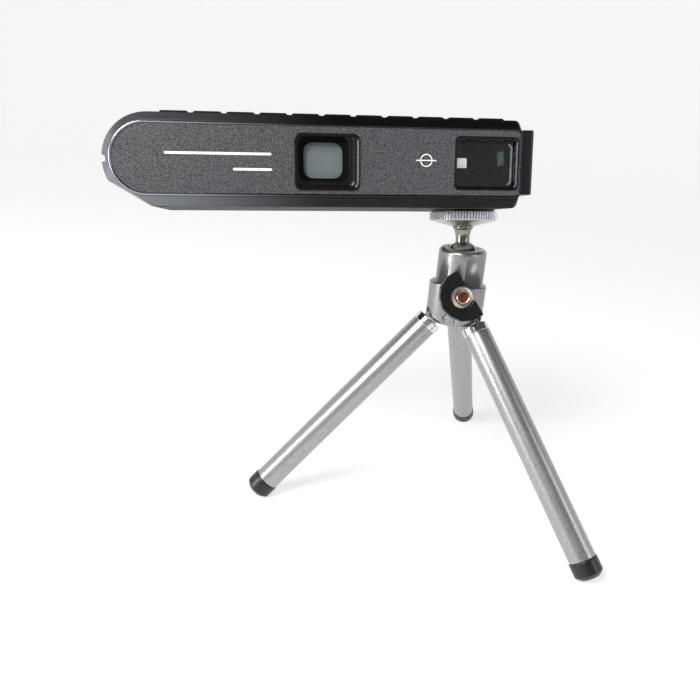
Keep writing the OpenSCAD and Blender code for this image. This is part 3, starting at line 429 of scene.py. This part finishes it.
def repeat(piece, tree, values):
    """Runs a geometry node group on a piece, and keeps the plain mesh that comes out."""
    modifier = piece.modifiers.new(tree.name, "NODES")
    modifier.node_group = tree
    for item in tree.interface.items_tree:
        if item.in_out == "INPUT" and item.name in values:
            modifier[item.identifier] = values[item.name]
    piece.update_tag()
    return evaluated_mesh(piece)


KNURL = knurl_group()
RIBS = rib_group()


# ---------------------------------------------------------------- camera front

PANEL_LOW, PANEL_HIGH = span("front_panel", CAMERA)
TRIM_LOW, TRIM_HIGH = span("trim_frame", CAMERA)
TRIM_CORNER = 2.2
TRIM_WIDTH = 0.8
LENS_LOW, LENS_HIGH = span("lens_barrel", CAMERA)
LENS_X = (LENS_LOW.x + LENS_HIGH.x) / 2
LENS_Z = (LENS_LOW.z + LENS_HIGH.z) / 2


def trim_bead():
    """Round-backed bead along the panel's edge."""
    front, back = TRIM_LOW.y, TRIM_HIGH.y
    half = TRIM_WIDTH / 2
    shoulder = front + 0.42
    section = [(0.0, back), (0.0, shoulder)]
    section += [(half - half * cos(a), shoulder - (shoulder - front) * sin(a))
                for a in (radians(d) for d in range(20, 180, 20))]
    section += [(TRIM_WIDTH, shoulder), (TRIM_WIDTH, back)]
    rings = []
    for inset, y in section:
        outline = round_end(TRIM_LOW.x + inset, TRIM_HIGH.x - inset,
                            TRIM_LOW.z + inset, TRIM_HIGH.z - inset, TRIM_CORNER - inset)
        rings.append([(x, y, z) for x, z in outline])
    piece = loft("trim_bead", rings, CAMERA, "looped")
    shade(piece, 50)
    return dress(piece, "camera", "trim_bright", TRIM_CHROME, "trim_frame")


def lens_surround():
    """Stepped rounded frame that funnels down to the lens window."""
    low, high = span("lens_bezel", CAMERA)
    w, h = high.x - low.x, high.z - low.z
    cx, cz = (low.x + high.x) / 2, (low.z + high.z) / 2
    window_x, window_z = LENS_X, LENS_Z + 0.3
    face, back, seat = low.y, high.y, PANEL_HIGH.y
    lining_from = face + 1.1
    # centre, width, height, corner radius and depth of each step, from the panel inwards
    steps = [
        (cx, cz, w, h, 2.2, seat),
        (cx, cz, w, h, 2.2, face + 0.28),
        (cx, cz, w - 0.16, h - 0.16, 2.15, face + 0.08),
        (cx, cz, w - 0.4, h - 0.4, 2.1, face),
        (cx, cz, w - 1.0, h - 1.0, 1.9, face),
        (cx, cz, w - 1.25, h - 1.25, 1.8, face + 0.12),
        (cx - 0.3, cz + 0.2, w - 1.5, h - 1.4, 1.8, face + 0.5),
        (cx - 0.4, cz + 0.28, w - 2.2, h - 1.9, 1.8, face + 0.5),
        (cx - 0.5, cz + 0.35, w - 2.5, h - 2.15, 1.8, face + 0.62),
        (cx - 0.7, cz + 0.5, w - 3.1, h - 2.5, 1.8, face + 1.0),
        (cx - 0.8, cz + 0.6, w - 3.9, h - 3.1, 1.9, face + 1.0),
        (window_x, window_z, 15.9, 13.5, 2.3, face + 1.15),
        (window_x, window_z, 15.3, 13.0, 2.2, face + 1.5),
        (window_x, window_z - 0.3, 12.3, 10.9, 2.9, back - 0.7),
        (window_x, window_z - 0.3, 12.3, 10.9, 2.9, back),
        (cx, cz, w - 2.1, h - 2.1, 1.4, back),
        (cx, cz, w - 2.1, h - 2.1, 1.4, seat),
    ]
    rings = [[(x, y, z) for x, z in rounded_box(sx, sz, sw, sh, r)] for sx, sz, sw, sh, r, y in steps]
    piece = loft("lens_surround", rings, CAMERA, "looped")
    shade(piece, 38)
    piece.data.materials.append(BEZEL_ABS)
    piece.data.materials.append(LINING)
    inverse = CAMERA.inverted()
    for polygon in piece.data.polygons:
        if (inverse @ polygon.center).y > lining_from:
            polygon.material_index = 1
    return dress(piece, "camera", "bezel_black", BEZEL_ABS, "lens_bezel")


FINDER_LOW, FINDER_HIGH = span("viewfinder_frame", CAMERA)
FINDER_RIM = 0.9
WINDOW_LOW, WINDOW_HIGH = span("viewfinder_window", CAMERA)
BEHIND_WINDOW = WINDOW_HIGH.y + 0.1


def finder_box(inset, r):
    """Outline of the finder's opening, drawn smaller by inset from its rim."""
    x = (FINDER_LOW.x + FINDER_HIGH.x) / 2
    z = (FINDER_LOW.z + FINDER_HIGH.z) / 2
    w = FINDER_HIGH.x - FINDER_LOW.x - 2 * inset
    h = FINDER_HIGH.z - FINDER_LOW.z - 2 * inset
    return rounded_box(x, z, w, h, r)


def finder_surround():
    """Moulded rim of the viewfinder, with a step before its window."""
    front, back = FINDER_LOW.y, FINDER_HIGH.y
    steps = [
        (0.0, 1.6, back), (0.0, 1.6, front + 0.2), (0.15, 1.5, front), (0.5, 1.3, front),
        (0.62, 1.25, front + 0.15), (FINDER_RIM, 1.2, front + 0.45), (FINDER_RIM, 1.2, back),
    ]
    rings = [[(x, y, z) for x, z in finder_box(inset, r)] for inset, r, y in steps]
    piece = loft("finder_surround", rings, CAMERA, "looped")
    shade(piece, 38)
    return dress(piece, "camera", "bezel_black", BEZEL_ABS, "viewfinder_frame")


def finder_window():
    """Clear window with a polished bevel all round its front face."""
    front, back = WINDOW_LOW.y, WINDOW_HIGH.y
    inset = FINDER_RIM + 0.05
    steps = [(inset, 1.1, back), (inset, 1.1, front + 0.5), (inset + 0.25, 1.0, front + 0.12),
             (inset + 0.8, 0.8, front)]
    rings = [[(x, y, z) for x, z in finder_box(i, r)] for i, r, y in steps]
    piece = loft("finder_window", rings, CAMERA, "capped")
    shade(piece, 30)
    return dress(piece, "camera", "glass", ACRYLIC, "viewfinder_window")


def finder_mirror_band():
    """Silvered band behind the window's right side, which draws the bright frame line."""
    right, top, bottom = FINDER_HIGH.x - 1.25, FINDER_HIGH.z - 1.7, FINDER_LOW.z + 1.7
    bend, width, thick = 2.2, 0.9, 0.35
    path = arc(right - bend, top - bend, bend, 60, 0, 6) + arc(right - bend, bottom + bend, bend, 0, -60, 6)
    outline = path + [(x - width, z) for x, z in reversed(path)]
    rings = [[(x, y, z) for x, z in outline] for y in (BEHIND_WINDOW, BEHIND_WINDOW + thick)]
    piece = loft("finder_mirror_band", rings, CAMERA, "capped")
    shade(piece, 40)
    return dress(piece, "camera", "chrome", CHROME)


def finder_optics():
    """Self-lit pale block at the left of the dark tunnel, a painted light standing in for a bright patch in
    the finder, and a slanting blue-coated plate at its right.
    """
    w, h = FINDER_HIGH.x - FINDER_LOW.x - 2 * FINDER_RIM, FINDER_HIGH.z - FINDER_LOW.z - 2 * FINDER_RIM
    left, foot = FINDER_LOW.x + FINDER_RIM, FINDER_LOW.z + FINDER_RIM
    outline = rounded_box(left + 0.11 * w, foot + 0.52 * h, 0.17 * w, 0.2 * h, 0.2)
    rings = [[(x, y, z) for x, z in outline] for y in (BEHIND_WINDOW, BEHIND_WINDOW + 0.8)]
    # painted light: a self-lit pale block stands in for a bright patch of light in the finder
    block = loft("finder_painted_glow_block", rings, CAMERA, "capped")
    shade(block, 40)
    dress(block, "camera", "nylon", OPAL_PAINTED_GLOW)
    # the plate's corners, as shares of the opening
    slant = [(0.71, 0.74), (0.82, 0.79), (0.84, 0.49), (0.73, 0.47)]
    rings = [[(left + u * w, y, foot + v * h) for u, v in slant]
             for y in (BEHIND_WINDOW + 0.2, BEHIND_WINDOW + 0.5)]
    plate = loft("finder_coated_plate", rings, CAMERA, "capped")
    shade(plate, 30)
    dress(plate, "camera", "glass", COATED_PLATE)


def panel_marks():
    """Two plain white rules and a film-plane mark, printed on the panel."""
    ink_front, ink_back = PANEL_LOW.y - 0.02, PANEL_LOW.y + 0.05
    # middle, width and height of each rule
    rules = [(-85.3, 15.7, 32.0, 0.75), (-75.1, 11.1, 11.8, 0.75)]
    pieces = []
    for i, (x, z, w, h) in enumerate(rules):
        outline = rounded_box(x, z, w, h, 0.3)
        rings = [[(px, y, pz) for px, pz in outline] for y in (ink_back, ink_front)]
        pieces.append(loft(f"panel_rule_{i + 1}", rings, CAMERA, "capped"))
    x, z, r, line = -20.5, 14.6, 2.0, 0.32
    rings = []
    for radius, y in ((r, ink_back), (r, ink_front), (r - line, ink_front), (r - line, ink_back)):
        rings.append([(px, y, pz) for px, pz in arc(x, z, radius, 0, 350, 35)])
    pieces.append(loft("film_plane_ring", rings, CAMERA, "looped"))
    outline = rounded_box(x, z, 6.6, line, 0.15)
    rings = [[(px, y, pz) for px, pz in outline] for y in (ink_back, ink_front)]
    pieces.append(loft("film_plane_line", rings, CAMERA, "capped"))
    for piece in pieces:
        dress(piece, "camera", "panel_grain", INK)


# ---------------------------------------------------------------- ball head

def ball_and_stud():
    """Ball, slim neck flaring to its flange, and the threaded end above the disc."""
    r = 6.5
    neck, flange = 2.55, 3.65
    meet = asin(neck / r)
    profile = [(r * sin(a), -r * cos(a)) for a in (pi * i / 40 for i in range(0, 41)) if a < pi - meet]
    profile[0] = (0, -r)
    profile.append((neck, sqrt(r * r - neck * neck)))
    flare_from, flare_to = 7.0, 10.75
    profile += [(neck + (flange - 0.25 - neck) * (t / 8) ** 2.6,
                 flare_from + (flare_to - flare_from) * t / 8) for t in range(9)]
    profile += [(flange - 0.08, 10.85), (flange, 10.98), (flange, 11.48), (flange - 0.1, 11.6)]
    thread, core, top = 3.1, 2.6, 22.95
    pitch = 1.27
    profile += [(core, 11.6)]
    z = 11.8
    while z + pitch < top - 0.6:
        profile += [(core, z), (thread, z + 0.4 * pitch), (thread, z + 0.6 * pitch), (core, z + pitch)]
        z += pitch
    profile += [(core, top - 0.5), (core - 0.5, top), (0, top)]
    piece = lathe("ball_and_stud", profile, STUD, 80)
    shade(piece, 40)
    return dress(piece, "ball", "nickel", NICKEL, "ball_stud")


def knurled_disc():
    """Lock disc: conical underside, rounded rim edges and straight ridges all round."""
    low, high = span("lock_disc", STUD)
    r = (high.x - low.x) / 2
    base, top = low.z, high.z
    rim_from = base + 2.1
    bore = 3.16
    ridge = 0.36
    core = r - ridge
    profile = [
        (bore, base), (3.95, base), (core - 0.75, rim_from - 0.2), (core - 0.3, rim_from - 0.05),
        (core - 0.06, rim_from + 0.12), (core, rim_from + 0.3), (core, top - 0.3), (core - 0.08, top - 0.1),
        (core - 0.3, top), (bore, top), (bore, base),
    ]
    piece = lathe("knurled_disc", profile, Matrix.Identity(4), 144)
    repeat(piece, KNURL, {
        "Ridges": 72, "Radius": r - ridge, "Ridge radius": ridge, "Height": top - rim_from - 0.5,
        "Middle": (0, 0, (rim_from + top) / 2), "Material": DISC_ALUMINIUM,
    })
    piece.data.transform(STUD)
    shade(piece, 40)
    return dress(piece, "disc", "disc_silver", DISC_ALUMINIUM, "lock_disc")


# ---------------------------------------------------------------- clamp

def clamp_screw():
    """Screw end with a rubbed bright edge round a tarnished face."""
    low, high = span("clamp_screw", CLAMP)
    r = (high.x - low.x) / 2
    end, tip = high.z, low.z
    profile = [
        (0, tip), (r - 1.4, tip), (r - 0.1, tip + 2.0), (r, tip + 2.3), (r, end - 0.4),
        (r - 0.1, end - 0.2), (r - 0.35, end), (r - 0.6, end - 0.1), (r - 0.9, end - 0.12), (0, end - 0.06),
    ]
    piece = lathe("clamp_screw_end", profile, CLAMP, 64)
    shade(piece, 40)
    piece.data.materials.append(COPPER_TARNISHED)
    piece.data.materials.append(COPPER_RUBBED)
    inverse = CLAMP.inverted()
    for face in piece.data.polygons:
        spot = inverse @ face.center
        away = sqrt(spot.x ** 2 + spot.y ** 2)
        if spot.z > end - 0.5 and away > r - 0.62:
            face.material_index = 1
    return dress(piece, "clamp", "copper_brass", COPPER_TARNISHED, "clamp_screw")


def clamp_hub():
    """Turned steel hub with a flange sunk in the grip."""
    low, high = span("clamp_hub", CLAMP)
    flange = (high.x - low.x) / 2
    neck, bore = 3.2, 2.45
    top, base = high.z, low.z
    profile = [
        (bore, base), (neck - 0.2, base), (neck, base + 0.2), (neck, top - 1.0), (flange, top - 1.0),
        (flange, top - 0.2), (flange - 0.2, top), (bore + 0.5, top), (bore + 0.3, top - 0.25),
        (bore, top - 0.25), (bore, base),
    ]
    piece = lathe("turned_clamp_hub", profile, CLAMP, 64)
    shade(piece, 35)
    return dress(piece, "clamp", "hub_steel", HUB_STEEL, "clamp_hub")


def grip_wings():
    """Half-moon grip with broken edges and fine ribs across both wings."""
    piece = softened("half_moon_grip", "clamp_grip", 0.35, "clamp", "grip_black", GRIP_PHENOLIC, 3)
    low, high = span("clamp_grip", GRIP)
    wing = (high.y - low.y) / 2
    rib_r = 0.26
    for side, name in ((1, "upper"), (-1, "lower")):
        ribs = object_from(f"{name}_wing_ribs", bmesh.new(), Matrix.Identity(4))
        repeat(ribs, RIBS, {
            "Ribs": 5, "Start": (high.x - 0.75, side * (wing / 2 + 1.75), high.z - 0.06),
            "Step": (-0.72, 0, 0), "Turn": (radians(90), 0, 0), "Rib radius": rib_r,
            "Length": wing - 5.1, "Material": GRIP_PHENOLIC,
        })
        ribs.data.transform(GRIP)
        shade(ribs, 50)
        dress(ribs, "clamp", "grip_black", GRIP_PHENOLIC)
    return piece


# ---------------------------------------------------------------- building

trim_bead()
lens_surround()
finder_surround()
finder_window()
finder_mirror_band()
finder_optics()
panel_marks()
ball_and_stud()
knurled_disc()
clamp_screw()
clamp_hub()
grip_wings()

# node, edge round in millimetres, body, slot, finish, new name
SOFTENED = [
    ("bottom_casing", 0.35, "camera", "casing_black", CASING_ABS, "lower_casing_moulding"),
    ("top_casing", 0.35, "camera", "casing_black", CASING_ABS, "upper_casing_moulding"),
    ("front_frame", 0.2, "camera", "frame_black", FRAME_METAL, "front_frame_pressing"),
    ("top_grip", 0.25, "camera", "pad_black", CASING_ABS, "top_grip_pads"),
    ("transport_slide", 0.3, "slide", "casing_black", SLIDE_ABS, "transport_slide_moulding"),
    ("back_door", 0.3, "door", "casing_black", CASING_ABS, "back_door_moulding"),
    ("door_latch", 0.1, "latch", "latch_grey", LATCH_ABS, "door_latch_moulding"),
    ("release_button", 0.2, "button", "button_red", BUTTON_ABS, "release_button_moulding"),
    ("lens_cover", 0.15, "slide", "cover_grey", COVER_ACETAL, "lens_cover_plate"),
    ("head_housing", 0.15, "head", "head_silver", CAST_LACQUER, "tripod_head_casting"),
    ("disc_pad", 0.12, "disc", "rubber", RUBBER, "disc_rubber_pad"),
]
for side in ("left", "right", "rear"):
    SOFTENED += [
        (f"{side}_leg_collar", 0.15, f"{side}_leg", "chrome", CHROME, f"{side}_leg_chrome_collar"),
        (f"{side}_foot", 0.3, f"{side}_leg", "rubber", RUBBER, f"{side}_foot_rubber_tip"),
    ]
for node, edge, body, slot, material, name in SOFTENED:
    softened(name, node, edge, body, slot, material)

# CAD nodes whose shape is right as it is
KEPT = {
    "ball_seat": ("seat", "plate_metal", PHOSPHATED),
    "leg_pins": ("head", "steel", ZINC_STEEL),
    "left_leg_lug": ("left_leg", "steel", ZINC_STEEL),
    "right_leg_lug": ("right_leg", "steel", ZINC_STEEL),
    "rear_leg_lug": ("rear_leg", "steel", ZINC_STEEL),
    "left_leg_tube": ("left_leg", "leg_silver", SILVER_LACQUER),
    "right_leg_tube": ("right_leg", "leg_silver", SILVER_LACQUER),
    "rear_leg_tube": ("rear_leg", "leg_silver", SILVER_LACQUER),
    "front_panel": ("camera", "panel_grain", PANEL_ANODISED),
    "viewfinder_tunnel": ("camera", "inner_black", LINING),
    "eyepiece": ("camera", "glass", ACRYLIC),
    "release_spring": ("camera", "steel", ZINC_STEEL),
    "lens_barrel": ("camera", "inner_black", LINING),
    "front_element": ("camera", "glass", LENS_GLASS),
    "rear_element": ("camera", "glass", LENS_GLASS),
    "shutter_plate": ("camera", "plate_metal", PHOSPHATED),
    "shutter_blade": ("blade", "inner_black", PHOSPHATED),
    "light_box": ("camera", "inner_black", LINING),
    "film_cartridge": ("camera", "cartridge", CARTRIDGE),
    "advance_gear": ("gear", "nylon", NYLON),
    "gear_axle": ("camera", "steel", ZINC_STEEL),
    "door_pin": ("camera", "steel", ZINC_STEEL),
    "door_pads": ("door", "rubber", RUBBER),
    "tripod_bush": ("camera", "brass", BRASS),
    "strap_pin": ("camera", "steel", ZINC_STEEL),
    "casing_screws": ("camera", "steel", ZINC_STEEL),
}
for node, (body, slot, material) in KEPT.items():
    NODES[node].data.materials.clear()
    NODES[node].data.materials.append(material)


# ---------------------------------------------------------------- studio

def studio_floor():
    """Plain pale paper floor that sweeps up all round, in metres."""
    flat, reach, rise, below = 1.1, 1.9, 1.1, 0.0001
    profile = [(0, 0), (0.3, 0), (flat, 0)]
    profile += [(flat + (reach - flat) * sin(a), rise * (1 - cos(a)))
                for a in (radians(d) for d in range(6, 91, 6))]
    floor = lathe("studio_floor", [(r, z - below) for r, z in profile], Matrix.Identity(4), 96)
    shade(floor, 60)
    # Matt white paper sweep, lit through from behind and less so on the viewer's side
    paper = surface("matt_paper_sweep", "#bcbdbe", "#bebfc0", 0.4, (0.92, 0.95),
                    IOR=1.45, **{"Emission Color": linear("#ffffff"), "Specular IOR Level": 0.1})
    tree = paper.node_tree
    where = add_node(tree, "ShaderNodeTexCoord")
    across = add_node(tree, "ShaderNodeSeparateXYZ", {"Vector": where.outputs["Object"]})
    glow = add_node(tree, "ShaderNodeMapRange", {
        "Value": across.outputs["Y"], "From Min": -1.1, "From Max": -0.3, "To Min": 0.14, "To Max": 0.66,
    })
    tree.links.new(glow.outputs["Result"], tree.nodes["Principled BSDF"].inputs["Emission Strength"])
    floor.data.materials.append(paper)


def soft_light(name, place, target, size, power, tint="#ffffff"):
    """Large soft area light aimed at a point, in metres and watts."""
    light = bpy.data.lights.new(name, "AREA")
    light.shape = "RECTANGLE"
    light.size, light.size_y = size
    light.energy = power
    light.color = linear(tint)[:3]
    lamp = bpy.data.objects.new(name, light)
    bpy.context.scene.collection.objects.link(lamp)
    lamp.location = place
    lamp.rotation_mode = "QUATERNION"
    lamp.rotation_quaternion = (Vector(target) - Vector(place)).to_track_quat("-Z", "Y")


def studio():
    """Dim white room light, a key at the upper left, a strip at the left and a small fill at the right."""
    studio_floor()
    world = bpy.data.worlds.new("studio_room")
    bpy.context.scene.world = world
    world.use_nodes = True
    room = world.node_tree.nodes["Background"]
    room.inputs["Color"].default_value = linear("#f3f6fa")
    room.inputs["Strength"].default_value = 0.1
    middle = (-0.03, 0, 0.08)
    soft_light("key_softbox", (-0.42, -0.50, 0.62), middle, (0.35, 0.35), 8.0, "#fffdf8")
    soft_light("left_strip", (-0.62, -0.30, 0.10), middle, (0.12, 0.45), 3.0, "#f4f8ff")
    soft_light("right_fill", (0.55, -0.35, 0.35), middle, (0.25, 0.35), 0.7, "#f6f9ff")


def photographer():
    """Camera in front of and above the subject, looking down about 20 degrees with a small roll."""
    lens = bpy.data.cameras.new("view_camera")
    lens.lens = 34.2
    lens.sensor_width = 36
    lens.clip_start, lens.clip_end = 0.01, 10
    camera = bpy.data.objects.new("view_camera", lens)
    bpy.context.scene.collection.objects.link(camera)
    right = Vector((0.99708, 0.0262, 0.0717)).normalized()
    back = -Vector((0, 0.9393, -0.3430))
    back = (back - right * back.dot(right)).normalized()
    turn = Matrix((right, back.cross(right), back)).transposed().to_4x4()
    camera.matrix_world = Matrix.Translation((-0.0383, -0.2411, 0.1457)) @ turn
    bpy.context.scene.camera = camera


studio()
photographer()
bpy.context.scene.view_settings.view_transform = "Standard"
